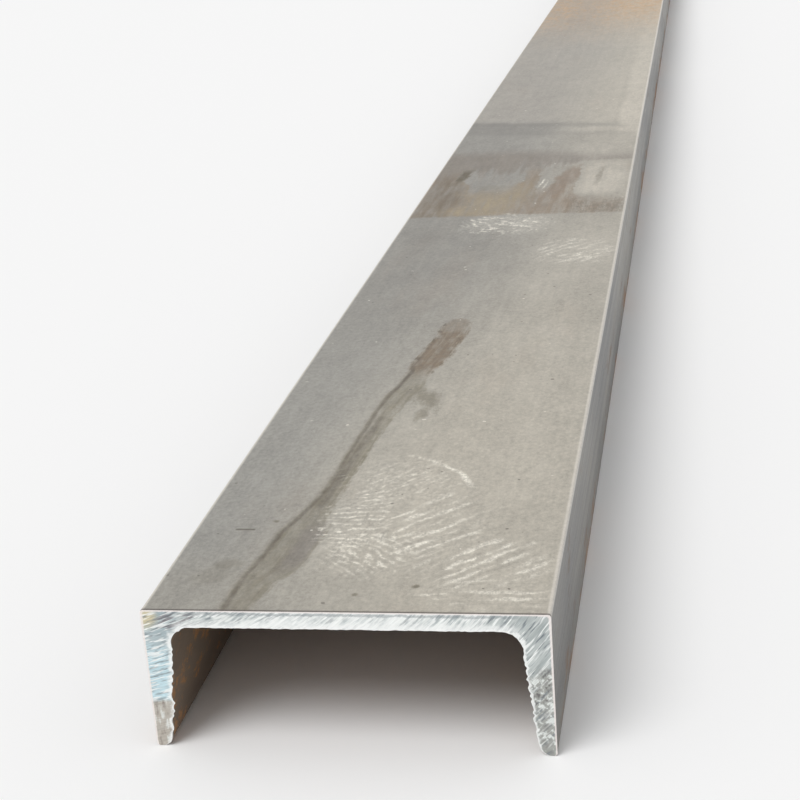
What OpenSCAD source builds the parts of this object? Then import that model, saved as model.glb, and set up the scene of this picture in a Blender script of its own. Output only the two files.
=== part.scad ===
// Hot-rolled steel channel: one straight length with a flat web and two tapered flanges.
// It lies web up on the toes of its flanges. X runs across the web, Y along the length, Z up.
// The origin is at the middle of the length and the width, level with the toes.

/* [Section] */
// Depth of the section, from the outside of one flange to the outside of the other
section_depth = 200; // [120:1:300]
// Width of each flange, from the outer face of the web to the toe
flange_width = 75; // [60:1:100]
// Thickness of the web
web_thickness = 9; // [5:0.5:14]
// Thickness of each flange, midway between the inner face of the web and the toe
flange_thickness = 11; // [9:0.5:16]
// Slope of each flange's inner face against its outer face, in percent
flange_slope = 10; // [0:0.5:12]

/* [Edges] */
// Radius of the fillet where each flange meets the web
root_radius = 11; // [4:0.5:16]
// Radius of the inner edge of each toe
toe_radius = 5.5; // [1:0.5:6]
// Radius of the outer edge of each toe
toe_edge_radius = 1.5; // [0.5:0.25:2]
// Radius of each heel, where the outer faces of web and flange meet
heel_radius = 1.5; // [0.5:0.25:4]

/* [Length] */
// Length between the sawn ends
stock_length = 6000; // [500:10:12000]

/* [Hidden] */

$fn = 96;

// Spare length by which a cut or a fillet passes the face that it works on
overlap = 1;
// Depth by which an arc passes the two faces that it blends, so that it ends on both of them
arc_bite = 0.002;
// Least width of flat that stays on a toe between its two rounded edges
toe_flat_least = 0.5;

half_depth = section_depth / 2;
// Reach of each flange beyond the inner face of the web
outstand = flange_width - web_thickness;
taper = flange_slope / 100;
root_thickness = flange_thickness + taper * outstand / 2;
toe_thickness = flange_thickness - taper * outstand / 2;
// Directions of the right flange's faces in the plane of the section
inward = [-1, 0];
up = [0, 1];
up_inner_face = [-taper, 1] / norm([-taper, 1]);
// Angle between a flange's inner face and its toe
toe_angle = 90 + atan(taper);
// The inner edge of a toe is no rounder than its thickness allows
toe_arc_reach = toe_thickness - toe_edge_radius - toe_flat_least;
toe_arc_radius = min(toe_radius, toe_arc_reach * tan(toe_angle / 2));

// Sliver between a corner and the arc that rounds it.
// The two sides are the unit directions in which they leave the corner.
module corner_sliver(corner, sides, radius) {
    bisector = sides[0] + sides[1];
    half_angle = acos(norm(bisector) / 2);
    tangents = [for (side = sides) corner + side * radius / tan(half_angle)];
    arc_centre = corner + bisector / norm(bisector) * radius / sin(half_angle);
    beyond = corner - bisector * overlap;
    difference() {
        polygon([beyond, tangents[0], arc_centre, tangents[1]]);
        translate(arc_centre) circle(r = radius + arc_bite);
    }
}

// The same shape on the right flange and, mirrored, on the left one
module both_flanges() {
    children();
    mirror([1, 0]) children();
}

// Space between the flanges, open past the toes
module trough() {
    mouth_half = half_depth - toe_thickness + taper * overlap;
    floor_half = half_depth - root_thickness;
    polygon([
        [-mouth_half, -overlap],
        [mouth_half, -overlap],
        [floor_half, outstand],
        [-floor_half, outstand]
    ]);
}

module root_fillet() {
    corner_sliver([half_depth - root_thickness, outstand], [inward, -up_inner_face], root_radius);
}

module toe_rounding() {
    corner_sliver([half_depth - toe_thickness, 0], [-inward, up_inner_face], toe_arc_radius);
    corner_sliver([half_depth, 0], [inward, up], toe_edge_radius);
}

module heel_rounding() {
    corner_sliver([half_depth, flange_width], [inward, -up], heel_radius);
}

// Rolled section, toes down, drawn in the plane of the sawn end
module section() {
    difference() {
        union() {
            difference() {
                translate([-half_depth, 0]) square([section_depth, flange_width]);
                trough();
            }
            both_flanges() root_fillet();
        }
        both_flanges() toe_rounding();
        both_flanges() heel_rounding();
    }
}

module channel() {
    color([0.46, 0.45, 0.44])
        rotate([90, 0, 0])
            linear_extrude(height = stock_length, center = true) section();
}

channel();
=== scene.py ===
import math

import bpy
import numpy as np
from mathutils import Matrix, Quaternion, Vector


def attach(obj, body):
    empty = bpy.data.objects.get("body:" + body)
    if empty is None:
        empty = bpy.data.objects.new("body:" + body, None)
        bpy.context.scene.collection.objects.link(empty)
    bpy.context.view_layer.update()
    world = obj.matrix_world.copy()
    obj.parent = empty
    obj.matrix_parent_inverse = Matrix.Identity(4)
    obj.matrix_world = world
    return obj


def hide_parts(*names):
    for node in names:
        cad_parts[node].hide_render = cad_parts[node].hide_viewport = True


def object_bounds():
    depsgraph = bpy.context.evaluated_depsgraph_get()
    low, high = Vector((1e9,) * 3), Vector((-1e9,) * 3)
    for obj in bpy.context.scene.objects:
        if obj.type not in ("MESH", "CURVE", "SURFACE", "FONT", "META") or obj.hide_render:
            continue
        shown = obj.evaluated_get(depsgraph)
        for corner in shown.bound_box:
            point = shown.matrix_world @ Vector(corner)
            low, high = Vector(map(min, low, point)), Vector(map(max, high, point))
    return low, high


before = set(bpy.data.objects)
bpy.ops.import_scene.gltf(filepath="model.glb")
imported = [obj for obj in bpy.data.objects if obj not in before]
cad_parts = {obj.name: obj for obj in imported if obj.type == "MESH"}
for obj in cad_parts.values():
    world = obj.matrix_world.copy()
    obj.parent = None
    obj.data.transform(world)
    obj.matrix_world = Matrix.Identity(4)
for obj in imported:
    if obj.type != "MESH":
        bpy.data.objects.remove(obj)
cadLow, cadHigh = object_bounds()  # box of the solid, before anything is added
print("frame loaded, box in metres", [round(v, 4) for v in (*cadLow, *cadHigh)])

halfDepth = (cadHigh.x - cadLow.x) / 2
flangeWidth = cadHigh.z - cadLow.z
nearEnd, farEnd = cadLow.y, cadHigh.y
mm = 0.001

# Sizes of the rolled section in metres, and how finely its surface is divided
rolledSection = {
    "webThickness": 0.009,
    "flangeThickness": 0.011,  # midway between web and toe
    "flangeSlope": 0.10,
    "rootRadius": 0.011,
    "toeRadius": 0.0055,
    "toeEdgeRadius": 0.0015,
    "heelRadius": 0.0015,
    "arcPoints": 40,
    "pointsAlong": {"toe": 28, "flange": 116, "corner": 110, "web": 120},
    "wallRows": 16,  # rows of faces across the wall on a sawn end
    "sharpAngle": 40.0,  # degrees between faces, from which their edge is sharp
    "nearStations": (0, 0.35, 0.8, 1.4, 2.2, 4, 8, 16, 32, 64, 125, 250),  # mm from an end
    "stationPitch": 0.25,
}

# The cut: shallow arcs left by a disc, and the lip that it pushed into the trough
sawCut = {
    "discCentre": (-0.164, 0.272),  # across and up, in the plane of the end
    "arcPitches": (0.0043, 0.0029, 0.0071),
    "arcPhases": (0.4, 2.1, 4.4),
    "arcDepth": 0.00009,
    "roughDepth": 0.00004,
    "lipReach": {"toe": 0.0002, "flange": 0.0016, "corner": 0.0005, "web": 0.0004},
    "lipEasing": 27,  # points over which the reach passes from one stretch to the next
    "lipPitches": (0.0015, 0.0041),
    "lipHeight": 0.55,  # mean height as a share of the reach, and how far each pitch swings it
    "lipSwing": 0.5,
    "rightShare": 0.65,  # reach of the lip at the right toe as a share of that at the left toe
    "lipLength": 0.0018,  # distance from the end at which the lip has died out
    "brightLip": 0.0014,  # distance from the end over which the lip's side is bare metal
    "seed": 41,
}

# How the surface is laid out flat on its map, in pixels: lengths of the bar side by side in columns,
# finest at the near end, above a strip for each sawn end
surfaceMap = {
    "name": "OFBake",
    "pixels": 1024,
    "outerColumns": [(0.0, 6, 350), (1.0, 362, 200), (3.0, 568, 130)],  # start in metres, left side, width
    "troughColumns": [(0.0, 704, 190), (2.0, 900, 112)],
    "columnFoot": 84,
    "columnHeight": 932,
    "stripStart": 8,
    "stripLength": 1008,
    "stripFeet": (4, 44),
    "stripHeight": 34,
}

# Finishes of the channel, in the order of its material slots
finishNames = ("web", "trough", "sawn", "flange")
slotOf = {name: number for number, name in enumerate(finishNames)}


# The vector shortened or lengthened to 1
def unit(vector):
    return vector / np.linalg.norm(vector)


# Arc that blends the two sides of a corner: its centre lies on the bisector, at the radius over the
# sine of half the angle, and it turns from one tangent point to the other in equal steps
def cornerArc(before, corner, after, radius, count):
    corner = np.array(corner)
    sideA, sideB = unit(np.array(before) - corner), unit(np.array(after) - corner)
    half = np.arccos(sideA @ sideB) / 2
    centre = corner + unit(sideA + sideB) * radius / np.sin(half)
    start = corner + sideA * radius / np.tan(half) - centre
    end = corner + sideB * radius / np.tan(half) - centre
    sweep = np.pi - 2 * half
    t = np.linspace(0, 1, count)[:, None]
    return centre + (np.sin((1 - t) * sweep) * start + np.sin(t * sweep) * end) / np.sin(sweep)


# Distance of each point from the first one along the path: the sum of the steps before it
def distanceAlong(points):
    return np.concatenate([[0], np.cumsum(np.linalg.norm(np.diff(points, axis=0), axis=1))])


# The same path with its points at equal distances along it
def evenly(points, count):
    points = np.array(points)
    along = distanceAlong(points)
    wanted = np.linspace(0, along[-1], count)
    return np.stack([np.interp(wanted, along, points[:, axis]) for axis in (0, 1)], axis=1)


# Outer and inner outline of the section, from the right toe over the web to the left toe.
# Both have as many points, and each point of one faces the same point of the other across the wall.
def sectionRails(shape):
    outstand = flangeWidth - shape["webThickness"]
    taper = shape["flangeSlope"] * outstand / 2
    toeInner = (halfDepth - shape["flangeThickness"] + taper, 0)
    rootCorner = (halfDepth - shape["flangeThickness"] - taper, outstand)
    toeOuter, heel = (halfDepth, 0), (halfDepth, flangeWidth)
    webTop, webUnder = (0, flangeWidth), (0, outstand)
    count = shape["arcPoints"]
    toeEdgeArc = cornerArc(toeInner, toeOuter, heel, shape["toeEdgeRadius"], count)
    toeArc = cornerArc(toeOuter, toeInner, rootCorner, shape["toeRadius"], count)
    heelArc = cornerArc(toeOuter, heel, webTop, shape["heelRadius"], count)
    rootArc = cornerArc(toeInner, rootCorner, webUnder, shape["rootRadius"], count)
    toeMiddle = (toeEdgeArc[0] + toeArc[0]) / 2
    levelWithRoot = (halfDepth, rootArc[0][1])
    aboveRoot = (rootArc[-1][0], flangeWidth)
    stretches = {
        "toe": ([toeMiddle, *toeEdgeArc], [toeMiddle, *toeArc]),
        "flange": ([toeEdgeArc[-1], levelWithRoot], [toeArc[-1], rootArc[0]]),
        "corner": ([levelWithRoot, *heelArc, aboveRoot], rootArc),
        "web": ([aboveRoot, webTop], [rootArc[-1], webUnder]),
    }
    outer, inner, stretchOf = [], [], []
    for name, (outside, inside) in stretches.items():
        points = shape["pointsAlong"][name]
        outer.append(evenly(outside, points)[:-1])
        inner.append(evenly(inside, points)[:-1])
        stretchOf += [name] * (points - 1)
    rails = []
    for half, middle in ((outer, webTop), (inner, webUnder)):
        half = np.concatenate(half)
        rails.append(np.concatenate([half, [middle], half[::-1] * (-1, 1)]))
    return rails[0], rails[1], stretchOf + ["web"] + stretchOf[::-1]


# Random value that eases from one knot to the next, with the knots a pitch apart: the share t of the way
# between two knots counts as 3 t^2 - 2 t^3
def ragged(rng, distance, pitch):
    knots = rng.uniform(-1, 1, int(distance[-1] / pitch) + 2)
    t, before = np.modf(distance / pitch)
    before = before.astype(int)
    return knots[before] + (knots[before + 1] - knots[before]) * t * t * (3 - 2 * t)


# How far the lip reaches into the trough at each point of the inner outline: the stretch's own reach,
# eased from one stretch to the next and growing from right to left, times a ragged height that never falls
# below nothing
def lipHeights(cut, stretchOf, along, rng):
    reach = np.array([cut["lipReach"][name] for name in stretchOf])
    ease = np.hanning(cut["lipEasing"])
    reach = np.convolve(reach, ease / ease.sum(), mode="same")
    reach = reach * np.linspace(cut["rightShare"], 1, len(reach))
    height = sum(ragged(rng, along, pitch) for pitch in cut["lipPitches"])
    return reach * np.clip(cut["lipHeight"] + cut["lipSwing"] * height, 0, None)


# Depth of the cut at points of the end: waves round the disc's centre, plus fine roughness
def cutDepth(points, cut, rng):
    radius = np.linalg.norm(points - np.array(cut["discCentre"]), axis=-1)
    turns = zip(cut["arcPitches"], cut["arcPhases"])
    waves = np.mean([np.sin(2 * np.pi * radius / pitch + phase) for pitch, phase in turns], axis=0)
    return cut["arcDepth"] * (1 + waves) / 2 + cut["roughDepth"] * rng.random(radius.shape)


# Places of the sections along the bar: close together at both ends, evenly spaced between
def stationPlaces(shape):
    close = np.array(shape["nearStations"]) * mm
    plainStart, plainEnd = nearEnd + close[-1], farEnd - close[-1]
    count = round((plainEnd - plainStart) / shape["stationPitch"]) + 1
    plain = np.linspace(plainStart, plainEnd, count)[1:-1]
    return np.concatenate([nearEnd + close, plain, farEnd - close[::-1]])


# The inner outline at every station: near an end it swells into the trough, along its own normal,
# by the lip's height, less with distance from the end
def innerWithLips(cut, inner, stretchOf, stations, rng):
    run = np.gradient(inner, axis=0)
    intoTrough = np.stack([-run[:, 1], run[:, 0]], axis=1) / np.linalg.norm(run, axis=1)[:, None]
    lip = np.zeros((len(stations), len(inner)))
    for end in (nearEnd, farEnd):
        fade = np.clip(1 - np.abs(stations - end) / cut["lipLength"], 0, 1)
        lip += fade[:, None] * lipHeights(cut, stretchOf, distanceAlong(inner), rng)
    lipped = inner + lip[:, :, None] * intoTrough
    lipped[..., 1] = np.maximum(lipped[..., 1], 0)  # nothing below the toes
    return lipped


# The four corners of every face of a grid of point numbers
def gridFaces(grid):
    return np.stack([grid[:-1, :-1], grid[1:, :-1], grid[1:, 1:], grid[:-1, 1:]], axis=-1)


# Places on the map of the faces along the bar, as across + up * 1j: in each column the way round the
# outline goes across, from right to left, and the way along the bar goes up
def columnPlaces(layout, outline, stations, columns):
    around = distanceAlong(outline)
    share = 1 - around / around[-1]
    cuts = [np.abs(stations - nearEnd - start).argmin() for start, left, width in columns]
    places = []
    for (start, left, width), first, last in zip(columns, cuts, cuts[1:] + [len(stations) - 1]):
        length = stations[first:last + 1] - stations[first]
        up = layout["columnFoot"] + length / length[-1] * layout["columnHeight"]
        places.append(gridFaces(left + share * width + 1j * up[:, None]))
    return np.concatenate(places)


# The section carried along the bar, and closed at each end by a grid from its outer to its inner outline,
# which is drawn to a point at each toe. Gives points, faces, each face's finish, each point's share
# of the way across the wall, and the place of each corner of the faces on the map.
def channelSurface(shape, cut, layout):
    rng = np.random.default_rng(cut["seed"])
    outer, inner, stretchOf = sectionRails(shape)
    stations = stationPlaces(shape)
    innerAt = innerWithLips(cut, inner, stretchOf, stations, rng)
    railCount, stationCount = len(outer), len(stations)

    # skin: the outer outline from toe to toe, then the inner one back without the shared toe points
    outerAt = np.broadcast_to(outer, innerAt.shape)
    loop = np.concatenate([outerAt, innerAt[:, -2:0:-1]], axis=1)
    loopCount = loop.shape[1]
    skin = np.insert(loop, 1, 0, axis=2)
    skin[..., 1] = stations[:, None]
    index = np.arange(stationCount * loopCount).reshape(stationCount, loopCount)
    quads = [gridFaces(np.column_stack([index, index[:, 0]])).reshape(-1, 4)]
    outerMap = columnPlaces(layout, outer, stations, layout["outerColumns"])
    troughMap = columnPlaces(layout, inner[::-1], stations, layout["troughColumns"])
    quadMap = [np.concatenate([outerMap, troughMap], axis=1).reshape(-1, 4)]
    middles = (outer[1:] + outer[:-1]) / 2
    onFlange = flangeWidth - middles[:, 1] > halfDepth - np.abs(middles[:, 0])
    outside = np.where(onFlange, slotOf["flange"], slotOf["web"])
    rolled = np.concatenate([outside, np.full(railCount - 1, slotOf["trough"])])
    fromEnd = np.minimum(stations[1:] - nearEnd, farEnd - stations[:-1])
    bareLip = (rolled == slotOf["trough"]) & (fromEnd <= cut["brightLip"])[:, None]
    slots = [np.where(bareLip, slotOf["sawn"], rolled).ravel()]
    across = [np.tile(np.arange(loopCount) >= railCount, stationCount).astype(float)]
    points, triangles, triangleMap = [skin.reshape(-1, 3)], [], []

    # ends: rows of points across the wall between the two outlines
    share = np.linspace(0, 1, shape["wallRows"] + 1)
    between = share[1:-1]
    midway = distanceAlong((outer + inner) / 2)
    alongStrip = layout["stripStart"] + midway / midway[-1] * layout["stripLength"]
    for station, inwards, foot in zip((0, stationCount - 1), (1, -1), layout["stripFeet"]):
        ring = index[station]
        made = sum(map(len, points))
        start, end = outer[1:-1, None], innerAt[station, 1:-1, None]
        flat = (start + (end - start) * between[:, None]).reshape(-1, 2)
        depth = stations[station] + inwards * cutDepth(flat, cut, rng)
        points.append(np.insert(flat, 1, depth, axis=1))
        points[0][ring, 1] += inwards * cutDepth(loop[station], cut, rng)
        across.append(np.tile(between, railCount - 2))
        grid = np.empty((railCount, len(share)), int)
        grid[:, 0] = ring[:railCount]
        grid[1:-1, -1] = ring[:railCount - 1:-1]
        grid[1:-1, 1:-1] = made + np.arange(len(flat)).reshape(railCount - 2, -1)
        grid[[0, -1]] = ring[[0, railCount - 1], None]
        corners = gridFaces(grid)[..., ::inwards]
        quads.append(corners[1:-1].reshape(-1, 4))
        slots.append(np.full(len(quads[-1]), slotOf["sawn"]))
        triangles += [corners[0][:, [0, 1, 2]], corners[-1][:, [0, 1, 3]]]
        upStrip = foot + share * layout["stripHeight"]
        places = gridFaces(alongStrip[::inwards, None] + 1j * upStrip)[..., ::inwards]
        quadMap.append(places[1:-1].reshape(-1, 4))
        triangleMap += [places[0][:, [0, 1, 2]], places[-1][:, [0, 1, 3]]]
    faces = np.concatenate(quads).tolist() + np.concatenate(triangles).tolist()
    slots.append(np.full(sum(map(len, triangles)), slotOf["sawn"]))
    onMap = np.concatenate([part.ravel() for part in quadMap + triangleMap]) / layout["pixels"]
    return np.concatenate(points), faces, np.concatenate(slots), np.concatenate(across), onMap


# One output of a node. Sums between outputs and numbers add Math nodes to the finish.
class Wire:
    def __init__(self, finish, socket):
        self.finish = finish
        self.socket = socket

    def other(self, name):
        return Wire(self.finish, self.socket.node.outputs[name])

    def __add__(self, other):
        return self.finish.maths("ADD", self, other)

    __radd__ = __add__

    def __sub__(self, other):
        return self.finish.maths("SUBTRACT", self, other)

    def __rsub__(self, other):
        return self.finish.maths("SUBTRACT", other, self)

    def __mul__(self, other):
        return self.finish.maths("MULTIPLY", self, other)

    __rmul__ = __mul__

    def __truediv__(self, other):
        return self.finish.maths("DIVIDE", self, other)

    def __rtruediv__(self, other):
        return self.finish.maths("DIVIDE", other, self)

    def __abs__(self):
        return self.finish.maths("ABSOLUTE", self)


# A material under way, with a few ways to add nodes to it. Its look is the dictionary with its clouds.
class Finish:
    def __init__(self, name, look=None):
        self.look = look
        self.material = bpy.data.materials.new(name)
        self.material.use_nodes = True
        self.tree = self.material.node_tree
        self.tree.nodes.clear()
        self.place = self.add("TexCoord", output="Object")
        split = self.add("SeparateXYZ", {}, {0: self.place})
        self.across = split / mm  # mm from the middle
        self.along = (split.other("Y") - nearEnd) / mm  # mm from the near end
        self.up = split.other("Z") / mm  # mm above the toes
        self.tint = None

    # any node: its kind, its settings, then the values or wires of its sockets
    def add(self, kind, settings=None, sockets=None, output=0):
        node = self.tree.nodes.new("ShaderNode" + kind)
        for name, value in (settings or {}).items():
            if name == "points":
                self.setPoints(node.mapping, value)
            else:
                setattr(node, name, value)
        for name, value in (sockets or {}).items():
            if isinstance(value, Wire):
                self.tree.links.new(value.socket, node.inputs[name])
            else:
                node.inputs[name].default_value = value
        return Wire(self, node.outputs[output]) if node.outputs else None

    def setPoints(self, mapping, places):
        mapping.extend = "HORIZONTAL"
        points = mapping.curves[0].points
        while len(points) < len(places):
            points.new(1, 1)
        for point, place in zip(points, places):
            point.location = place
            point.handle_type = "AUTO_CLAMPED"
        mapping.update()

    def maths(self, operation, *values):
        return self.add("Math", {"operation": operation}, dict(enumerate(values)))

    # smooth step: 0 up to low, 1 from high on
    def step(self, value, low, high):
        settings = {"interpolation_type": "SMOOTHSTEP"}
        return self.add("MapRange", settings, {"Value": value, "From Min": low, "From Max": high})

    # 1 within half a width of the middle value, 0 beyond the fading edge
    def near(self, value, middle, half, fade):
        return 1 - self.step(abs(value - middle), half, half + fade)

    # smooth line through (place, value) points, given in rising order of place
    def curve(self, value, points):
        places, heights = zip(*points)
        low, spread = min(heights), max(heights) - min(heights)
        start, length = places[0], places[-1] - places[0]
        shares = [((place - start) / length, (height - low) / spread) for place, height in points]
        height = self.add("FloatCurve", {"points": shares}, {"Value": (value - start) / length})
        return height * spread + low

    def mix(self, factor, first, second, blend="MIX"):
        settings = {"data_type": "RGBA", "blend_type": blend}
        return self.add("Mix", settings, {0: factor, 6: first, 7: second}, 2)

    # lays a colour over the tint so far
    def paint(self, factor, over):
        self.tint = self.mix(factor, self.tint, over)

    # multiplies the tint so far by a value
    def tone(self, value):
        grey = self.add("CombineColor", {}, {0: value, 1: value, 2: value})
        self.tint = self.mix(1.0, self.tint, grey, "MULTIPLY")

    # one of the look's clouds, a value about one half: its lumps in a metre along each axis, its detail,
    # roughness and seed
    def noise(self, name):
        scale, detail, roughness, seed = self.look["clouds"][name]
        offset = (seed, seed * 0.7, seed * 1.3)
        vector = self.add("Mapping", {}, {"Vector": self.place, "Location": offset, "Scale": scale})
        return self.cloud(vector, detail, roughness)

    # how far a cloud, with more added, is up the range over which its thing shows
    def shows(self, name, more=0):
        return self.step(self.noise(name) + more, *self.look["shows"][name])

    def cloud(self, vector, detail, roughness):
        sockets = {"Vector": vector, "Scale": 1.0, "Detail": detail, "Roughness": roughness}
        return self.add("TexNoise", {}, sockets)

    def vector(self, first, second, third):
        return self.add("CombineXYZ", {}, {0: first, 1: second, 2: third})

    def distance(self, first, second):
        return self.maths("SQRT", first * first + second * second)

    def bump(self, height, distance):
        return self.add("Bump", {}, {"Height": height, "Distance": distance})

    def close(self, surface):
        self.add("OutputMaterial", {}, {"Surface": surface})
        return self.material


# Colour in linear light of a colour as a screen shows it, 0 to 255
def colour(red, green, blue):
    shown = np.array([red, green, blue]) / 255
    linear = np.where(shown <= 0.04045, shown / 12.92, ((shown + 0.055) / 1.055) ** 2.4)
    return (*linear.tolist(), 1.0)


# Mill scale on the web: its colours, its clouds, the values of a cloud over which its thing comes to show,
# and its zones. A zone is the range over which something comes or goes, or its middle, half its width and
# its fading edge, in mm across from the middle line or along from the near end.
millScale = {
    # the cool and warm tints are a painted reflection: the ground is cooler at the left and warmer at the
    # right
    "coolSheen": colour(151, 149, 143),
    "warmSheen": colour(179, 173, 161),
    "dull": colour(136, 133, 127),
    "line": colour(118, 115, 110),
    "front": colour(158, 154, 145),
    "pale": colour(200, 193, 180),
    "olive": colour(178, 164, 150),
    "farTint": colour(187, 150, 106),
    "rust": colour(146, 118, 92),
    "speck": colour(226, 221, 210),
    "pit": colour(100, 94, 88),
    "clouds": {
        "broad": ((9, 2, 9), 4, 0.55, 3),
        "grain": ((480, 330, 480), 4, 0.75, 5),
        "ragged": ((110, 36, 110), 4, 0.7, 41),
        "waver": ((16, 10, 16), 3, 0.6, 31),
        "wobble": ((45, 45, 45), 2, 0.5, 43),
        "streaks": ((230, 1.6, 230), 3, 0.6, 11),
        "rustPatches": ((3, 0.9, 3), 4, 0.6, 23),
        "freckles": ((120, 42, 120), 5, 0.78, 49),
        "rust": ((14, 3.5, 14), 5, 0.65, 21),
        "filmStreaks": ((165, 15, 165), 3, 0.65, 33),
        "stainMottle": ((170, 75, 170), 4, 0.7, 47),
        "sparse": ((31, 31, 31), 1, 0.5, 70),
        "specks": ((240, 240, 240), 0, 0.5, 71),
        "pits": ((240, 240, 240), 0, 0.5, 73),
    },
    "shows": {
        "rustPatches": (0.52, 0.66),
        "freckles": (0.44, 0.6),
        "rust": (0.55, 0.72),
        "sparse": (0.45, 0.55),
        "specks": (0.845, 0.875),
        "pits": (0.83, 0.86),
    },
    "waver": 40,  # mm over which the edges of the zones wander
    # zone of the painted reflection across the web, and how far its warm part moves on each stretch
    "sheenAcross": (-100, 45),
    "sheenShift": {"front": -16, "dull": 30, "beyond": 46},  # mm by which the warm part moves to the right
    "frontShiftTo": (0, 160),
    "dullFrom": (160, 660),
    "slant": 0.19,  # mm by which the lines come forwards for each mm to the right
    "shadeFrom": (1160, 1204),
    "shadeTo": (1246, 1262),
    "beyondFrom": (1240, 1278),
    "darkLines": [((1186, 3, 12), 0.14), ((1242, 3, 12), 0.26)],  # zone along, and strength
    "darkLinesTo": (56, 84),
    "paleLines": [((1214, 5, 14), 0.24), ((1150, 70, 30), 0.16)],
    "paleLinesFrom": (0, 60),
    "frontTo": (20, 75),
    "frontAcrossTo": (-10, 50),
    "paleStrip": (88, 8, 9),
    "paleStripFrom": (1180, 1206),
    "paleStripFades": (1230, 2300),
    "bloom": (2560, 120, 620),
    "rustPatchesFrom": (2700, 3300),
    "scratch": {"across": (-71.5, 4.8, 1.2), "along": (95.4, 0.5, 1.0)},
}

# The long stain: its middle line, half its width and its strength against distance from the end, in mm
longStain = {
    "olive": colour(130, 124, 109),
    "brown": colour(124, 110, 93),
    "purple": colour(126, 120, 115),
    "dark": colour(92, 84, 73),
    "middle": [(0, -54), (27, -50), (58, -42), (105, -38.5), (152, -35), (200, -32), (267, -28),
               (305, -24), (325, -20), (355, -17.5), (390, -13), (435, -8), (475, -6.5)],
    "halfWidth": [(0, 7), (27, 9.5), (50, 14), (78, 14.5), (105, 11), (136, 7.5), (160, 6.2), (200, 6.8),
                  (267, 8), (325, 9.5), (352, 8.5), (372, 11), (450, 10.5), (468, 8), (476, 0), (486, -14)],
    "strength": [(0, 0.8), (60, 0.92), (105, 0.86), (140, 1.06), (215, 1.06), (260, 0.8), (305, 1.0),
                 (340, 0.68), (352, 0.84), (365, 1.1), (425, 1.22), (440, 1.12), (462, 0.7), (478, 0.8)],
    "streak": {"width": 3.4, "length": 55, "seed": 0.5},
    "edge": (-2.4, 3),
    "ragged": 9,  # mm by which streaks and mottling move the edge
    "roughSide": (-4, 4),  # the right side is ragged and the left one is clean
    "brownFrom": (330, 366),
    "crumbs": {"across": (-1, 1.2, 2.4), "along": (410, 55, 12)},  # across from either side
    "crumbsFrom": (0.04, 0.12),
    "lobe": {"across": (6, 3, 6), "along": (74, 14, 26)},  # across from the middle line
    "rim": {"across": (2.2, 0.5, 2.2), "along": (170, 190, 60)},  # across from the left side
    "core": {"across": (-0.5, 0.8, 3.2), "along": (195, 45, 50)},
    "darkest": (338, 12, 22),
}

# The film of dirt across the web: its sharp front edge, and how far back it reaches, in mm. Other places
# along it are measured from the front edge.
dirtFilm = {
    "brown": colour(130, 115, 98),
    "dark": colour(84, 76, 58),
    "tan": colour(154, 141, 116),
    "plume": colour(124, 104, 88),
    "band": colour(134, 127, 119),
    "front": 800,
    "reach": [(-100, 1050), (-74, 1040), (-65, 1010), (-60, 935), (-52, 900), (-20, 905), (-10, 940),
              (-4, 1010), (2, 1015), (8, 930), (13, 900), (24, 950), (32, 1000), (43, 1005), (48, 960),
              (53, 880), (64, 862), (100, 860)],
    "frontEdge": (-6, 4),
    "backEdge": (-36, 20),
    "thinPart": (76, 22, 10),
    "traces": (110, 110, 24),
    "tanPatch": {"across": (-30, 12, 40), "along": (60, 30, 90)},
    "leftColumn": (-80, 8, 16),
    "plumeAcross": (22, 5, 9),
    "plumeLean": 0.1,
    "plumeFrom": (40, 100),
    "swirlsAcross": (72, 20, 14),
    "swirlsTo": (40, 80),
    "swirlWidth": 0.07,
    "bandLeft": (-30, 70),  # across: from here to there the band turns from feathered to sharp
    "bandFrom": 238,
    "bandEdge": {"sharp": 10, "feather": 40, "earlier": 22, "streaks": 120},
    "bandTo": (244, 298),
    "bandLonger": 18,  # mm by which it reaches further back at the left
    "darkSpot": {"across": (-69, 3, 5), "along": (172, 12, 26)},
    "cleanPatch": {"across": (74, 14, 12), "along": (150, 60, 24)},
    "thinStreak": {"across": (69, 1.0, 3.2), "along": (156, 24, 26)},
}

# Pale scuffs: middle and half size of the patch, direction of the strokes in degrees, the distance over
# which they spread from one point, their spacing and length, in mm, and how pale it is between them
scuffs = [
    {"middle": (-13, 106), "half": (20, 42), "angle": 4, "spread": 170,
     "pitch": 5.4, "reach": 7, "waver": 3.4, "haze": 0.14, "strength": 0.9},
    {"middle": (31, 102), "half": (29, 42), "angle": 44, "spread": 400,
     "pitch": 7.8, "reach": 30, "waver": 1.2, "haze": 0.08, "strength": 0.86},
    {"middle": (6, 163), "half": (36, 34), "angle": 50, "spread": 500,
     "pitch": 4.6, "reach": 7, "waver": 3.0, "haze": 0.16, "strength": 0.48},
    {"middle": (0, 64), "half": (26, 27), "angle": -44, "spread": 400,
     "pitch": 5.0, "reach": 5, "waver": 3.4, "haze": 0.06, "strength": 0.72},
    {"middle": (62, 55), "half": (36, 30), "angle": 46, "spread": 300,
     "pitch": 7.4, "reach": 22, "waver": 1.2, "haze": 0.06, "strength": 0.82},
    {"middle": (66, 20), "half": (36, 18), "angle": 3, "spread": 240,
     "pitch": 6.6, "reach": 22, "waver": 1.2, "haze": 0.06, "strength": 0.82},
    {"middle": (-6, 762), "half": (42, 38), "angle": -48, "spread": 90,
     "pitch": 11.0, "reach": 13, "waver": 4.5, "haze": 0.24, "strength": 0.85},
    {"middle": (66, 662), "half": (38, 44), "angle": 46, "spread": 300,
     "pitch": 10.0, "reach": 20, "waver": 2.2, "haze": 0.2, "strength": 0.58},
    {"middle": (14, 926), "half": (5, 26), "angle": 84, "spread": 300,
     "pitch": 6.0, "reach": 60, "waver": 0.8, "haze": 0.05, "strength": 0.9},
]
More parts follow.
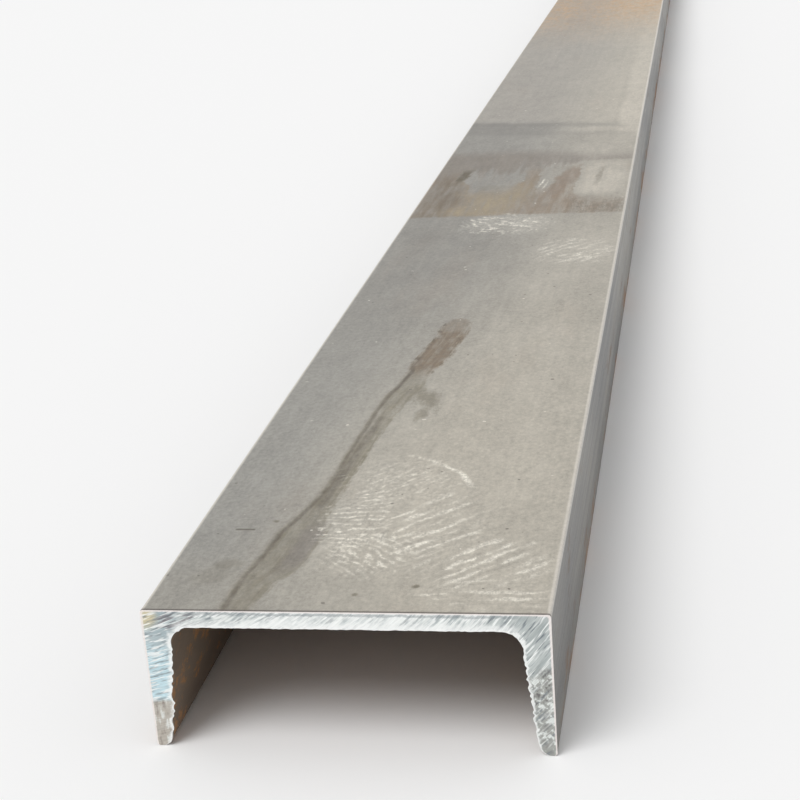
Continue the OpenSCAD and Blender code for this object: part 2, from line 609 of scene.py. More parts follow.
scuffStroke = {
    "pale": colour(232, 227, 215),
    # colour of the painted shade beside the strokes
    "strokeShade": colour(146, 141, 131),
    "strokeShadeStrength": 0.4,
    "firstSeed": 60,
    "wave": 0.8,  # height of the even wave across the strokes
    "cloud": 7.5,  # height of the cloud that breaks it up
    "crest": (-0.2, 1.6),
    "strokeShadeRange": (-2.2, -0.7),
    "patchEdge": (0.55, 1.2),
    "raggedEdge": 1.3,
    "bundling": 2.2,  # how far bundles of strokes differ in strength
    "chalky": (0.24, 0.66),
}
brightArc = {
    "centre": (-76.4, 87.4),
    "radius": 138,
    "halfWidth": 0.5,
    "edge": 2.6,
    "wobble": 12,
    "middle": (24, 179),
    "half": 30,
    "fade": 9,
    "strength": 0.52,
    "growth": 0.017,  # strength gained for each mm to the right
    "ragged": 3.6,
}

# Dark smudges on the web: middle and half size, lean across for each mm along, and strength
smudgeColour = colour(122, 116, 101)
smudgeEdge = {"fade": (0.35, 1.2), "ragged": 1.8}
smudges = [
    {"middle": (-7, 304), "half": (9, 26), "lean": -0.3, "strength": 0.72},
    {"middle": (-4, 271), "half": (4.6, 15), "lean": 0.1, "strength": 0.58},
    {"middle": (-73, 40), "half": (13, 12), "lean": 0.0, "strength": 0.24},
    {"middle": (-68, 53), "half": (9, 6), "lean": 0.0, "strength": 0.34},
    {"middle": (-57, 106), "half": (2, 2.4), "lean": 0.0, "strength": 0.9},
    {"middle": (32, 28.5), "half": (2.4, 2.6), "lean": 0.0, "strength": 0.95},
    {"middle": (3, 19), "half": (2, 2), "lean": 0.0, "strength": 0.8},
    {"middle": (-30, 917), "half": (20, 13), "lean": 0.0, "strength": 0.34},
]


# 1 inside a patch, 0 beyond its fading edges
def patchMask(finish, across, along, patch):
    return finish.near(across, *patch["across"]) * finish.near(along, *patch["along"])


# Lines across the web, each as strong as it says
def crossLines(finish, along, lines):
    return sum(finish.near(along, *zone) * strength for zone, strength in lines)


# Ground colour: a painted reflection, cool at the left and warm at the right, dull on one stretch, and
# lighter beyond a shaded strip with thin lines, which come forwards towards the right. Gives how dull it
# is.
def paintGround(finish, cloudy, raggedness, waver):
    look = millScale
    across, along, shift = finish.across, finish.along, look["sheenShift"]
    slanted = along + across * look["slant"] + waver * 0.5
    beyond = finish.step(slanted, *look["beyondFrom"])
    dull = finish.step(along + waver * 4, *look["dullFrom"]) * (1 - beyond)
    pastFront = finish.step(along, *look["frontShiftTo"])
    moved = dull * shift["dull"] + beyond * shift["beyond"] + (1 - pastFront) * shift["front"]
    # painted reflection: the tint turns from cool to warm across the web
    sheenWarmth = finish.step(across + (cloudy - 0.5) * 70 - moved, *look["sheenAcross"])
    finish.tint = finish.mix(sheenWarmth, look["coolSheen"], look["warmSheen"])
    finish.paint(dull * (0.7 - sheenWarmth * 0.4), look["dull"])
    shaded = finish.step(slanted + raggedness * 40, *look["shadeFrom"])
    shaded = shaded * (1 - finish.step(slanted, *look["shadeTo"]))
    finish.paint(shaded * (0.52 - sheenWarmth * 0.8), look["line"])
    dark = crossLines(finish, slanted, look["darkLines"]) * (1 + raggedness * 3)
    finish.paint(dark * (1 - finish.step(across, *look["darkLinesTo"])), look["line"])
    pale = crossLines(finish, slanted, look["paleLines"])
    finish.paint(pale * finish.step(across, *look["paleLinesFrom"]), look["pale"])
    finish.paint(beyond * (0.2 - sheenWarmth * 0.2), look["olive"])
    atFront = 1 - finish.step(along + waver, *look["frontTo"])
    atFront = atFront * (1 - finish.step(across, *look["frontAcrossTo"]))
    finish.paint(atFront * 0.55, look["front"])
    strip = finish.near(across + waver * 0.25, *look["paleStrip"])
    strip = strip * finish.step(slanted, *look["paleStripFrom"])
    finish.paint(strip * (0.5 - finish.step(along, *look["paleStripFades"]) * 0.4), look["pale"])
    return dull


# Light rust: a bloom part of the way along and looser patches further on, both freckled, and faint stains
def paintRust(finish, cloudy, waver):
    look = millScale
    bloom = finish.near(finish.along + waver * 5, *look["bloom"])
    patches = finish.shows("rustPatches") * finish.step(finish.along, *look["rustPatchesFrom"])
    bloom = finish.maths("MAXIMUM", bloom, patches * 0.7)
    freckles = finish.shows("freckles", (cloudy - 0.5) * 0.3)
    finish.paint(bloom * (0.22 + cloudy * 0.22 + freckles * 0.36), look["farTint"])
    finish.paint(finish.shows("rust") * 0.08, look["rust"])


# The film ends in feathers: its reach is stretched and shortened by a cloud drawn out lengthways
def paintFilm(finish, waver, raggedness):
    look = dirtFilm
    streaky = finish.noise("filmStreaks") - 0.5
    across = finish.across + waver * 0.9 + raggedness * 13
    front = finish.along + raggedness * 14 - look["front"]
    past = finish.along + streaky * 110 + waver * 1.5 - finish.curve(across, look["reach"])
    film = 1 - finish.step(past + raggedness * 30, *look["backEdge"])
    film = film * finish.step(front, *look["frontEdge"])
    thinner = finish.near(across, *look["thinPart"]) * 0.12
    finish.paint(film * (0.62 - thinner + streaky * 1.7 + raggedness * 0.5), look["brown"])
    traces = finish.near(front, *look["traces"]) * (0.03 + streaky * 0.9 + raggedness * 0.6)
    finish.paint(traces, look["brown"])
    paler = patchMask(finish, across + waver, front, look["tanPatch"]) * film
    finish.paint(paler * (0.58 + streaky * 2), look["tan"])
    # darker up the left column, a redder plume right of the middle and swirls low down at the right
    leftColumn = finish.near(across, *look["leftColumn"]) * film
    finish.paint(leftColumn * (0.26 + raggedness * 1.2 + streaky), look["dark"])
    plume = finish.near(across - front * look["plumeLean"], *look["plumeAcross"])
    finish.paint(plume * finish.step(front, *look["plumeFrom"]) * film * 0.34, look["plume"])
    swirls = finish.near(raggedness + waver * 0.004, 0, 0, look["swirlWidth"])
    swirls = swirls * finish.near(across, *look["swirlsAcross"])
    finish.paint(swirls * film * (1 - finish.step(front, *look["swirlsTo"])) * 0.3, look["dark"])
    # a band behind it, sharp in front at the right and feathered and darker at the left
    edge = look["bandEdge"]
    leftness = 1 - finish.step(finish.across, *look["bandLeft"])
    intoBand = front - look["bandFrom"] + (edge["earlier"] + streaky * edge["streaks"]) * leftness
    band = finish.step(intoBand / (edge["sharp"] + leftness * edge["feather"]), -1, 0)
    outOfBand = front + streaky * 60 - leftness * look["bandLonger"]
    band = band * (1 - finish.step(outOfBand, *look["bandTo"]))
    finish.paint(band * (0.58 + leftness * 0.45 + streaky * 1.2 + raggedness), look["band"])
    finish.paint(band * leftness * (0.14 + streaky * 0.5), look["dark"])
    spot = patchMask(finish, across, front, look["darkSpot"])
    finish.paint(spot * (0.9 + raggedness), look["dark"])
    # a clean patch at the right, and a thin streak down it
    clean = patchMask(finish, finish.across, front, look["cleanPatch"]) * (1 - film)
    finish.paint(clean * (0.36 + streaky), millScale["pale"])
    wandering = finish.across + waver * 0.4 + raggedness * 8
    streak = patchMask(finish, wandering, front, look["thinStreak"])
    finish.paint(streak * (0.42 + raggedness * 1.5 + streaky), look["dark"])


# An oval smudge with a ragged edge
def paintSmudge(finish, mark, raggedness):
    dy = finish.along - mark["middle"][1]
    dx = finish.across - mark["middle"][0] - dy * mark["lean"]
    spread = finish.distance(dx / mark["half"][0], dy / mark["half"][1]) + raggedness * smudgeEdge["ragged"]
    finish.paint((1 - finish.step(spread, *smudgeEdge["fade"])) * mark["strength"], smudgeColour)


# The stain has soft sides and streaks along it, from a cloud drawn out lengthways
def paintStain(finish, raggedness):
    look = longStain
    along = finish.along
    half = finish.curve(along, look["halfWidth"])
    off = finish.across - finish.curve(along, look["middle"]) + raggedness * 3
    streak = look["streak"]
    place = finish.vector(off / streak["width"], along / streak["length"], streak["seed"])
    streaky = finish.cloud(place, detail=3, roughness=0.65) - 0.5
    mottled = finish.noise("stainMottle") - 0.5
    isBrown = finish.step(along + raggedness * 30, *look["brownFrom"])
    # the left side is clean, the right one and both sides of the brown part are ragged
    rough = finish.maths("MAXIMUM", finish.step(off, *look["roughSide"]), isBrown) * 0.8 + 0.2
    moved = (streaky + mottled) * look["ragged"] * rough
    inside = finish.step(half - abs(off) + moved, *look["edge"])
    body = inside * finish.curve(along, look["strength"])
    hue = finish.mix(isBrown, look["olive"], look["brown"])
    finish.paint(body * (0.75 + streaky * 1.3 + mottled * 1.1), hue)
    crumbs = patchMask(finish, abs(off) - half, along, look["crumbs"])
    finish.paint(crumbs * finish.step(mottled, *look["crumbsFrom"]) * isBrown * 0.5, look["dark"])
    lobe = patchMask(finish, off, along, look["lobe"])
    finish.paint(lobe * inside * 0.6, look["purple"])
    # darker down the left side, and down the core where it is narrow
    rim = patchMask(finish, off + half, along, look["rim"])
    core = patchMask(finish, off, along, look["core"])
    darkness = 0.52 + finish.near(along, *look["darkest"]) * 0.3 + mottled * 1.2
    finish.paint(finish.maths("MAXIMUM", rim, core) * inside * darkness, look["dark"])


# Strokes that spread from a point behind the patch: a wave across them, broken up by a cloud stretched
# along them, inside an oval with a ragged edge. The crests are pale; beside them, painted shade stands in
# for the strokes' shadow side.
def paintScuff(finish, patch, seed, wobble, raggedness, chalky):
    turn = math.radians(patch["angle"])
    forwards = (math.cos(turn), math.sin(turn))
    dx, dy = finish.across - patch["middle"][0], finish.along - patch["middle"][1]
    onLine = dx * forwards[0] + dy * forwards[1] + patch["spread"]
    offLine = dy * forwards[0] - dx * forwards[1]
    onStroke = finish.distance(onLine, offLine)
    offStroke = finish.maths("ARCTAN2", offLine, onLine) * patch["spread"] / patch["pitch"]
    place = finish.vector(onStroke / patch["reach"], offStroke, seed)
    uneven = finish.cloud(place, detail=2, roughness=0.55)
    wave = finish.maths("SINE", (offStroke + wobble * patch["waver"]) * 2 * math.pi)
    height = wave * scuffStroke["wave"] + (uneven - 0.5) * scuffStroke["cloud"]
    spread = finish.distance(dx / patch["half"][0], dy / patch["half"][1])
    spread = spread + raggedness * scuffStroke["raggedEdge"]
    inPatch = (1 - finish.step(spread, *scuffStroke["patchEdge"])) * patch["strength"]
    # painted shade: dull lines in the troughs of the wave stand in for the shadow beside each pale stroke
    strokeShadeMask = 1 - finish.step(height, *scuffStroke["strokeShadeRange"])
    finish.paint(inPatch * strokeShadeMask * scuffStroke["strokeShadeStrength"], scuffStroke["strokeShade"])
    crests = patch["haze"] + finish.step(height, *scuffStroke["crest"]) * (1 - patch["haze"])
    finish.paint(inPatch * crests * chalky * (1 + wobble * scuffStroke["bundling"]), scuffStroke["pale"])


# Part of a circle, brighter towards the right
def paintArc(finish, arc, wobble, raggedness, chalky):
    across, along = finish.across, finish.along
    fromCentre = finish.distance(across - arc["centre"][0], along - arc["centre"][1])
    onArc = finish.near(fromCentre + wobble * arc["wobble"], arc["radius"], arc["halfWidth"], arc["edge"])
    dx, dy = across - arc["middle"][0], along - arc["middle"][1]
    onArc = onArc * finish.near(finish.distance(dx, dy), 0, arc["half"], arc["fade"])
    strength = arc["strength"] + dx * arc["growth"] + raggedness * arc["ragged"]
    finish.paint(onArc * chalky * strength, scuffStroke["pale"])


# Sparse pale specks and dark pits
def paintSpecks(finish):
    look = millScale
    sparse = finish.shows("sparse")
    finish.paint(finish.shows("specks") * sparse * 0.85, look["speck"])
    finish.paint(finish.shows("pits") * sparse * 0.7, look["pit"])


# Heels painted bright, partly as wear and partly as a painted highlight where the rounded heel catches
# the light, and a dark line beside each cut, in mm
heelAndCutEdges = {
    "heelWearAndHighlightColour": colour(222, 216, 206),
    "heelBrightAcross": (97.4, 98.8),
    "heelBrightUp": (71.5, 74),
    "darkCutLine": colour(78, 71, 67),
    "darkCutLineTo": (0.8, 2.4),
}


def paintEdges(finish, grain):
    heelWearAndHighlight = finish.step(abs(finish.across), *heelAndCutEdges["heelBrightAcross"])
    heelWearAndHighlight = heelWearAndHighlight * finish.step(finish.up, *heelAndCutEdges["heelBrightUp"])
    # painted highlight together with wear: the bright band along each heel stands in partly for light
    # caught by the rounded edge
    finish.paint(heelWearAndHighlight * (0.3 + grain * 0.7), heelAndCutEdges["heelWearAndHighlightColour"])
    toCut = finish.maths("MINIMUM", finish.along, (farEnd - nearEnd) / mm - finish.along)
    # a dark line on the surface within about 2 mm of each cut end
    finish.paint((1 - finish.step(toCut, *heelAndCutEdges["darkCutLineTo"])) * 0.8, heelAndCutEdges["darkCutLine"])
    return heelWearAndHighlight


def millScaleFinish():
    finish = Finish("millScale", millScale)
    cloudy = finish.noise("broad")
    grain = finish.noise("grain")
    raggedness = finish.noise("ragged") - 0.5
    waver = (finish.noise("waver") - 0.5) * millScale["waver"]
    dull = paintGround(finish, cloudy, raggedness, waver)
    paintRust(finish, cloudy, waver)
    paintFilm(finish, waver, raggedness)
    for mark in smudges:
        paintSmudge(finish, mark, raggedness)
    scratch = patchMask(finish, finish.across, finish.along, millScale["scratch"])
    finish.paint(scratch * 0.75, longStain["dark"])
    paintStain(finish, raggedness)
    chalky = finish.step(grain, *scuffStroke["chalky"])
    wobble = finish.noise("wobble") - 0.5
    for seed, patch in enumerate(scuffs, scuffStroke["firstSeed"]):
        paintScuff(finish, patch, seed, wobble, raggedness, chalky)
    paintArc(finish, brightArc, wobble, raggedness, chalky)
    paintSpecks(finish)
    streaks = finish.noise("streaks")
    uneven = (grain - 0.5) + raggedness * 0.45 + waver * (0.004 + dull * 0.009)
    finish.tone(1 + uneven + (streaks - 0.5) * 0.16 + (cloudy - 0.5) * 0.12)
    heelWearAndHighlight = paintEdges(finish, grain)
    return finish.close(finish.add("BsdfPrincipled", {}, {
        "Base Color": finish.tint,
        "Roughness": 0.55 + (grain - 0.5) * 0.3 - heelWearAndHighlight * 0.12,
        "Metallic": 0.15,
        "Specular IOR Level": 0.3,
        "Normal": finish.bump(grain + raggedness * 0.8, 0.00012),
    }))


# Scale on the outside of the flanges: bluer and smoother, flaked in places, with rust towards the toes
flangeScale = {
    "dark": colour(98, 98, 98),
    "light": colour(140, 137, 131),
    "flake": colour(170, 166, 158),
    "rust": colour(150, 108, 72),
    "scratch": colour(206, 201, 192),
    "clouds": {
        "broad": ((9, 2.2, 9), 4, 0.6, 6),
        "grain": ((420, 300, 420), 3, 0.7, 12),
        "streaks": ((210, 1.3, 210), 3, 0.6, 14),
        "flakes": ((70, 20, 70), 5, 0.72, 16),
        "rust": ((30, 8, 30), 5, 0.7, 18),
        "scratches": ((48, 1.1, 48), 1, 0.5, 20),
        "scraped": ((12, 3, 12), 2, 0.5, 22),
    },
    "shows": {
        "flakes": (0.555, 0.6),
        "rust": (0.56, 0.7),
        "scraped": (0.52, 0.64),
    },
    "lightFrom": (0.52, 0.98),
    "rustUpTo": (2, 26),  # mm above the toe
    "scratchWidth": 0.007,
}


def flangeScaleFinish():
    look = flangeScale
    finish = Finish("flangeScale", look)
    cloudy = finish.noise("broad")
    grain = finish.noise("grain")
    streaks = finish.noise("streaks")
    lightness = finish.step(cloudy + streaks * 0.5, *look["lightFrom"])
    finish.tint = finish.mix(lightness, look["dark"], look["light"])
    flaked = finish.shows("flakes", (cloudy - 0.5) * 0.5)
    finish.paint(flaked * 0.27, look["flake"])
    byToe = 1 - finish.step(finish.up + (cloudy - 0.5) * 30, *look["rustUpTo"])
    rusty = finish.shows("rust", byToe * 0.1)
    finish.paint(rusty * (0.28 + byToe * 0.4), look["rust"])
    # long scratches: thin lines where a stretched cloud passes through its middle value, on a few patches
    scratched = finish.near(finish.noise("scratches"), 0.5, 0, look["scratchWidth"])
    finish.paint(scratched * finish.shows("scraped") * grain * 0.9, look["scratch"])
    finish.tone(1 + (grain - 0.5) * 0.5 + (streaks - 0.5) * 0.3)
    heelWearAndHighlight = paintEdges(finish, grain)
    return finish.close(finish.add("BsdfPrincipled", {}, {
        "Base Color": finish.tint,
        "Roughness": 0.44 + (grain - 0.5) * 0.3 + rusty * 0.2 + flaked * 0.1 - heelWearAndHighlight * 0.1,
        "Metallic": 0.4 - rusty * 0.3,
        "Specular IOR Level": 0.4,
        "Normal": finish.bump(grain * 0.6 + flaked * 0.5 + streaks * 0.4, 0.00016),
    }))


# Scale inside the trough: darker, pitted, with rust in the hollows and chalky flakes, browner by the end
troughScale = {
    "dark": colour(104, 96, 95),
    "lighter": colour(134, 127, 122),
    "brown": colour(136, 118, 95),
    "rust": colour(164, 104, 54),
    "orange": colour(200, 142, 84),
    "chalk": colour(214, 206, 194),
    "clouds": {
        "broad": ((16, 5, 16), 4, 0.6, 4),
        "grain": ((520, 380, 520), 4, 0.7, 8),
        "rust": ((11, 4, 11), 5, 0.65, 15),
        "scabs": ((70, 40, 70), 6, 0.75, 19),
        "cracks": ((20, 7, 20), 4, 0.7, 25),
        "flakes": ((6, 2, 6), 2, 0.5, 27),
    },
    "shows": {
        "rust": (0.52, 0.68),
        "scabs": (0.56, 0.66),
        "flakes": (0.55, 0.66),
    },
    "lighterFrom": (0.35, 0.68),
    "rustOnGrain": (0.3, 0.6),
    "brownTo": (60, 900),  # mm from the near end over which the brown dies out
    "crackWidth": (0.004, 0.01),
}


def troughScaleFinish():
    look = troughScale
    finish = Finish("troughScale", look)
    cloudy = finish.noise("broad")
    grain = finish.noise("grain")
    lightness = finish.step(cloudy, *look["lighterFrom"])
    finish.tint = finish.mix(lightness, look["dark"], look["lighter"])
    byEnd = 1 - finish.step(finish.along + (cloudy - 0.5) * 500, *look["brownTo"])
    finish.paint(byEnd * (0.2 + cloudy * 0.7), look["brown"])
    rusty = finish.shows("rust") * finish.step(grain, *look["rustOnGrain"])
    finish.paint(rusty * 0.7, look["rust"])
    scabs = finish.shows("scabs", byEnd * 0.05)
    finish.paint(scabs * byEnd * 0.6, look["orange"])
    chalk = finish.near(finish.noise("cracks"), 0.5, *look["crackWidth"]) * finish.shows("flakes")
    finish.paint(chalk * 0.7, look["chalk"])
    finish.tone(1 + (grain - 0.5) * 0.4)
    return finish.close(finish.add("BsdfPrincipled", {}, {
        "Base Color": finish.tint,
        "Roughness": 0.62 + (grain - 0.5) * 0.3 + rusty * 0.15,
        "Metallic": 0.1,
        "Specular IOR Level": 0.3,
        "Normal": finish.bump(grain + chalk * 0.6, 0.0002),
    }))


# Bare metal of the cut ends: colours, clouds, strokes of the disc, and zones in mm across and up
sawnSteel = {
    "low": colour(170, 179, 180),
    "high": colour(234, 238, 235),
    "slate": colour(164, 181, 187),
    "cyan": colour(205, 232, 240),
    "pale": colour(172, 179, 178),
    "grey": colour(161, 161, 155),
    "spot": colour(104, 100, 101),
    "beige": colour(188, 179, 167),
    "smear": colour(142, 132, 124),
    "yellow": colour(222, 204, 156),
    "dark": colour(126, 134, 139),
    "white": colour(251, 253, 251),
    "outerRim": colour(247, 239, 235),
    "scratch": colour(104, 97, 103),
    "clouds": {
        "grain": ((900, 900, 900), 2, 0.6, 3),
        "patchy": ((45, 45, 45), 3, 0.55, 9),
        "mottle": ((240, 240, 240), 3, 0.65, 13),
    },
    "strokeSize": (2.2, 12.0),  # width and length
    "strokeRadius": 260,  # at which the turn round the disc's centre is measured
    "strokes": {  # fineness, roughness and seed
        "coarse": (1.0, 0.55, 1.0),
        "white": (1.5, 0.6, 5.0),
        "dark": (1.4, 0.6, 9.0),
        "fine": (3.6, 0.6, 13.0),
    },
    "highFrom": (0.34, 0.64),  # values of a stroke's or smear's cloud
    "darkFrom": (0.51, 0.66),
    "whiteFrom": (0.5, 0.63),
    "smearFrom": (0.52, 0.66),
    "unsmearedTo": (0.34, 0.46),
    "leftFrom": (80, 90),
    "rightFrom": (62, 86),
    "flangeFrom": (82, 86),
    "cyanUp": (38, 6, 18),
    "lowRightTo": (40, 50),
    "spotsUp": (38, 6, 14),
    "spotsFrom": (0.01, 0.12),
    "clearFrom": (0.02, 0.1),
    "lowLeftTo": (24.5, 27.5),
    "smearCloud": {"width": 2.2, "height": 10, "seed": 7.0},
    "yellowCorner": (-97.5, 71),
    "yellowReach": (2.5, 9),
    "rootScratch": {
        "middle": (-82, 69.5),
        "half": (14, 6),
        "edge": (0.6, 1.1),
        "angle": 22.0,
        "length": 16,
        "width": 1.5,
        "seed": 3.0,
        "from": (0.5, 0.6),
    },
    "topUp": (64, 67),
    "topAcross": (0, 80, 8),
    "whiteAcross": (0, 22, 40),
    "whiteWall": (0.45, 0.85),  # shares of the way across the wall
    "dullWall": (0.18, 0.03, 0.09),
    "outerWall": (0.05, 0.1),
    "lipWall": (0.86, 0.97),
}


# Hues of the cut: bluish on the left flange, grey low on the right one, beige and smeared at the left toe,
# yellow at the left heel. Gives the masks of the left and right sides, low right and low left.
def paintCutHues(finish, coarse, patchy, mottle):
    look = sawnSteel
    across, up = finish.across, finish.up
    onLeft = finish.step(patchy * 16 - across, *look["leftFrom"])
    onRight = finish.step(patchy * 40 + across, *look["rightFrom"])
    lightness = finish.step(coarse, *look["highFrom"])
    finish.tint = finish.mix(lightness, look["low"], look["high"])
    finish.paint(onLeft * 0.75, look["slate"])
    cyan = finish.near(up + patchy * 40, *look["cyanUp"])
    finish.paint(onLeft * cyan * (0.75 + mottle), look["cyan"])
    finish.paint(onRight * 0.68, look["pale"])
    lowRight = 1 - finish.step(up + patchy * 24, *look["lowRightTo"])
    lowRight = lowRight * finish.step(across, *look["flangeFrom"])
    finish.paint(lowRight * 0.8, look["grey"])
    lowLeft = 1 - finish.step(up + patchy * 6, *look["lowLeftTo"])
    lowLeft = lowLeft * finish.step(across * -1, *look["flangeFrom"])
    finish.paint(lowLeft * 0.9, look["beige"])
    smear = look["smearCloud"]
    place = finish.vector(across / smear["width"], up / smear["height"], smear["seed"])
    smeared = finish.cloud(place, detail=3, roughness=0.6)
    finish.paint(lowLeft * finish.step(smeared, *look["smearFrom"]) * 0.7, look["smear"])
    finish.paint(lowLeft * (1 - finish.step(smeared, *look["unsmearedTo"])) * 0.7, look["high"])
    heelX, heelZ = look["yellowCorner"]
    fromHeel = finish.distance(across - heelX, up - heelZ) + patchy * 6
    finish.paint((1 - finish.step(fromHeel, *look["yellowReach"])) * 0.7, look["yellow"])
    return onLeft, onRight, lowRight, lowLeft


# Straight scratches at the left root: lines from a cloud drawn out at an angle, in an oval. Gives the mask.
def paintRootScratches(finish, scratch):
    across, up = finish.across, finish.up
    turn = math.radians(scratch["angle"])
    onScratch = (across * math.cos(turn) + up * math.sin(turn)) / scratch["length"]
    offScratch = (up * math.cos(turn) - across * math.sin(turn)) / scratch["width"]
    lines = finish.cloud(finish.vector(onScratch, offScratch, scratch["seed"]), detail=1, roughness=0.5)
    (x, z), (halfX, halfZ) = scratch["middle"], scratch["half"]
    spread = finish.distance((across - x) / halfX, (up - z) / halfZ)
    scored = (1 - finish.step(spread, *scratch["edge"])) * finish.step(lines, *scratch["from"])
    finish.paint(scored * 0.75, sawnSteel["scratch"])
    return scored


# Rims: a pinkish line along the outside, with a duller one beside it under the web, and white along the lip
def paintRims(finish, onLeft, mottle, grain):
    look = sawnSteel
    wall = finish.add("Attribute", {"attribute_name": "acrossWall"}, {}, "Fac")
    onTop = finish.step(finish.up, *look["topUp"]) * finish.near(finish.across, *look["topAcross"])
    inner = finish.step(wall + mottle * 0.6, *look["whiteWall"])
    finish.paint(inner * onTop * 0.65, look["white"])
    inMiddle = finish.near(finish.across, *look["whiteAcross"])
    finish.paint(inMiddle * onTop * (0.4 + mottle), look["white"])
    finish.paint(finish.near(wall + mottle * 0.3, *look["dullWall"]) * onTop * 0.5, look["dark"])
    outer = 1 - finish.step(wall + (grain - 0.5) * 0.05, *look["outerWall"])
    finish.paint(outer * 0.85, look["outerRim"])
    lipStart, lipFull = look["lipWall"]
    finish.paint(finish.step(wall + mottle * 0.5, lipStart - onLeft * 0.1, lipFull) * 0.85, look["white"])


# The disc's strokes are clouds drawn out round its centre, dark ones under white ones
def sawnSteelFinish():
    look = sawnSteel
    finish = Finish("sawnSteel", look)
    centreX, centreZ = (value / mm for value in sawCut["discCentre"])
    dx, dz = finish.across - centreX, finish.up - centreZ
    width, length = look["strokeSize"]
    outwards = finish.distance(dx, dz) / width
    around = finish.maths("ARCTAN2", dz, dx) * look["strokeRadius"] / length
    strokes = {}
    for name, (fineness, roughness, seed) in look["strokes"].items():
        strokes[name] = finish.cloud(finish.vector(outwards * fineness, around, seed), 2, roughness)
    fine = strokes["fine"] - 0.5
    grain = finish.noise("grain")
    patchy = finish.noise("patchy") - 0.5
    mottle = finish.noise("mottle") - 0.5

    onLeft, onRight, lowRight, lowLeft = paintCutHues(finish, strokes["coarse"], patchy, mottle)
    calm = 1 - finish.maths("MAXIMUM", lowRight * 0.35, lowLeft * 0.9)
    darkStroke = finish.step(strokes["dark"], *look["darkFrom"]) * calm
    whiteStroke = finish.step(strokes["white"], *look["whiteFrom"]) * calm
    finish.paint(darkStroke * (0.75 + onRight * 0.4), look["dark"])
    finish.paint(whiteStroke * 0.8, look["white"])
    spotted = 0.28 + finish.near(finish.up, *look["spotsUp"]) * 0.55
    finish.paint(finish.step(mottle, *look["spotsFrom"]) * spotted * lowRight, look["spot"])
    finish.paint(finish.step(mottle * -1, *look["clearFrom"]) * lowRight * 0.85, look["high"])
    scored = paintRootScratches(finish, look["rootScratch"])
    finish.tone(1 + fine * 0.7)
    paintRims(finish, onLeft, mottle, grain)
    relief = strokes["coarse"] * 0.6 + strokes["white"] * 0.4 + fine * 0.5 + grain * 0.2 - scored * 0.5
    return finish.close(finish.add("BsdfPrincipled", {}, {
        "Base Color": finish.tint,
        "Roughness": 0.5 - whiteStroke * 0.12 + (grain - 0.5) * 0.2,
        "Metallic": 0.3,
        "Specular IOR Level": 0.5,
        "Normal": finish.bump(relief, 0.00025),
    }))


# The function that makes each finish
finishes = {
    "web": millScaleFinish,
    "trough": troughScaleFinish,
    "sawn": sawnSteelFinish,
    "flange": flangeScaleFinish,
}


def makeChannel():
    points, faces, slots, across, onMap = channelSurface(rolledSection, sawCut, surfaceMap)
    mesh = bpy.data.meshes.new("rolledChannel")
    mesh.from_pydata(points, [], faces)
    mesh.polygons.foreach_set("material_index", slots.astype(np.int32))
    acrossWall = mesh.attributes.new("acrossWall", "FLOAT", "POINT")
    acrossWall.data.foreach_set("value", across.astype(np.float32))
    places = np.column_stack([onMap.real, onMap.imag]).astype(np.float32)
    mesh.uv_layers.new(name=surfaceMap["name"]).uv.foreach_set("vector", places.ravel())
    mesh.polygons.foreach_set("use_smooth", np.ones(len(mesh.polygons), bool))
    mesh.set_sharp_from_angle(angle=math.radians(rolledSection["sharpAngle"]))
    for name in finishNames:
        mesh.materials.append(finishes[name]())
    mesh.update()
    piece = bpy.data.objects.new("rolledChannel", mesh)
    bpy.context.scene.collection.objects.link(piece)
    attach(piece, "root")
    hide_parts("channel")
    print("channel made,", len(points), "points,", len(faces), "faces")


makeChannel()

# Floor, light and background
studio = {
    "floorSize": 120.0,
    "floorDrop": 0.0002,
    "floorColour": (0.96, 0.96, 0.96, 1.0),
    "fadeFrom": 6.0,  # distance over which the floor fades into the background
    "fadeTo": 22.0,
    "skyStrength": 0.55,
    "sunStrength": 1.6,
    "sunAngle": 38.0,
    "sunFrom": (-0.45, -0.55, 1.0),
}


# Value 1 for rays from the camera and for those that a shiny or clear surface sends on
def seenDirectly(tree):
    path = tree.nodes.new("ShaderNodeLightPath")
    total = path.outputs["Is Camera Ray"]
    for name in ("Is Glossy Ray", "Is Transmission Ray"):
        either = tree.nodes.new("ShaderNodeMath")
        either.operation = "MAXIMUM"
        tree.links.new(total, either.inputs[0])
        tree.links.new(path.outputs[name], either.inputs[1])
        total = either.outputs[0]
    return total


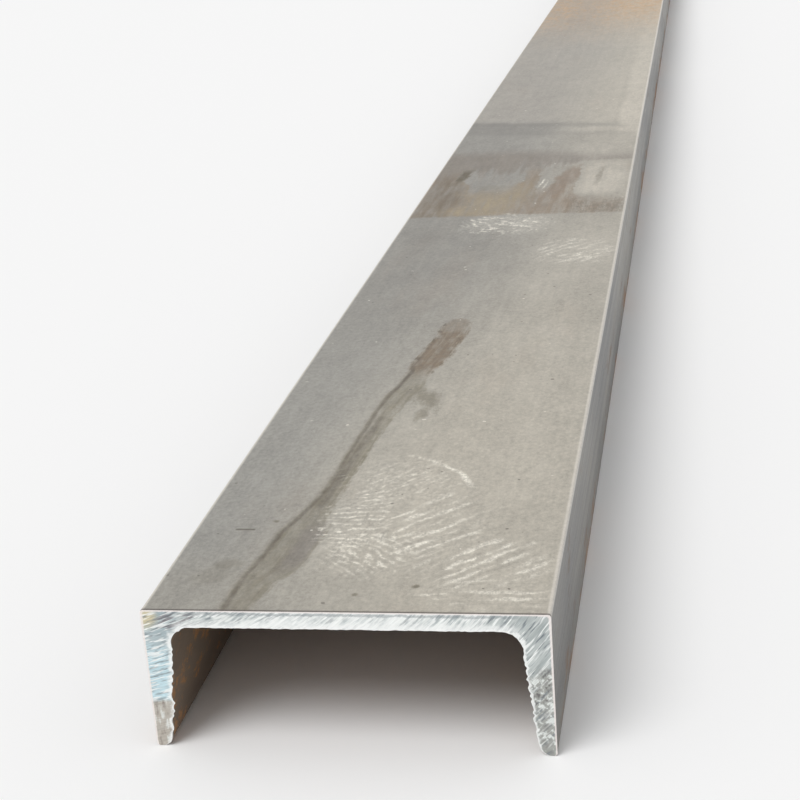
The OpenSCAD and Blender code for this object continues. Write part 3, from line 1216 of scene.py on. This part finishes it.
# A flat square, plain and pale, which fades to white with distance where it is seen directly
def makeFloor():
    half, level = studio["floorSize"] / 2, cadLow.z - studio["floorDrop"]
    corners = [(x, y, level) for x, y in ((-half, -half), (half, -half), (half, half), (-half, half))]
    mesh = bpy.data.meshes.new("floor")
    mesh.from_pydata(corners, [], [(0, 1, 2, 3)])
    finish = Finish("paleFloor")
    distance = finish.add("VectorMath", {"operation": "LENGTH"}, {0: finish.place}, "Value")
    direct = Wire(finish, seenDirectly(finish.tree))
    faded = finish.step(distance, studio["fadeFrom"], studio["fadeTo"]) * direct
    plain = finish.add("BsdfDiffuse", {}, {"Color": studio["floorColour"]})
    white = finish.add("Emission", {}, {"Color": (1, 1, 1, 1), "Strength": 1.0})
    mesh.materials.append(finish.close(finish.add("MixShader", {}, {0: faded, 1: plain, 2: white})))
    floor = bpy.data.objects.new("floor", mesh)
    bpy.context.scene.collection.objects.link(floor)


# A soft sun and a white sky, which lights less than it shows
def makeLight():
    world = bpy.data.worlds.new("studio")
    world.use_nodes = True
    tree = world.node_tree
    background = tree.nodes["Background"]
    background.inputs["Color"].default_value = (1, 1, 1, 1)
    strength = tree.nodes.new("ShaderNodeMapRange")
    strength.inputs["To Min"].default_value = studio["skyStrength"]
    strength.inputs["To Max"].default_value = 1.0
    tree.links.new(seenDirectly(tree), strength.inputs["Value"])
    tree.links.new(strength.outputs[0], background.inputs["Strength"])
    bpy.context.scene.world = world
    lamp = bpy.data.lights.new("softSun", "SUN")
    lamp.energy = studio["sunStrength"]
    lamp.angle = math.radians(studio["sunAngle"])
    sun = bpy.data.objects.new("softSun", lamp)
    sun.rotation_mode = "QUATERNION"
    sun.rotation_quaternion = Vector(studio["sunFrom"]).to_track_quat("Z", "Y")
    bpy.context.scene.collection.objects.link(sun)
    print("floor and light made")


# Camera at the photograph's viewpoint, in metres from the bar's middle, near end and web
viewpoint = {
    "aside": 0.173,
    "beforeEnd": 0.693,
    "aboveWeb": 0.355,
    "aimAside": -0.022,
    "aimPastEnd": 0.298,
    "roll": -4.4,
    "lens": 75.0,
    "sensor": 36.0,
}


def makeCamera():
    data = bpy.data.cameras.new("camera")
    data.lens, data.sensor_width = viewpoint["lens"], viewpoint["sensor"]
    camera = bpy.data.objects.new("camera", data)
    webTop = cadHigh.z
    place = Vector((viewpoint["aside"], nearEnd - viewpoint["beforeEnd"], webTop + viewpoint["aboveWeb"]))
    aim = Vector((viewpoint["aimAside"], nearEnd + viewpoint["aimPastEnd"], webTop))
    camera.location = place
    camera.rotation_mode = "QUATERNION"
    turn = (aim - place).to_track_quat("-Z", "Y")
    camera.rotation_quaternion = turn @ Quaternion((0, 0, 1), math.radians(viewpoint["roll"]))
    bpy.context.scene.collection.objects.link(camera)
    bpy.context.scene.camera = camera
    print("camera placed")


makeFloor()
makeLight()
makeCamera()
bpy.context.scene.view_settings.view_transform = "Standard"
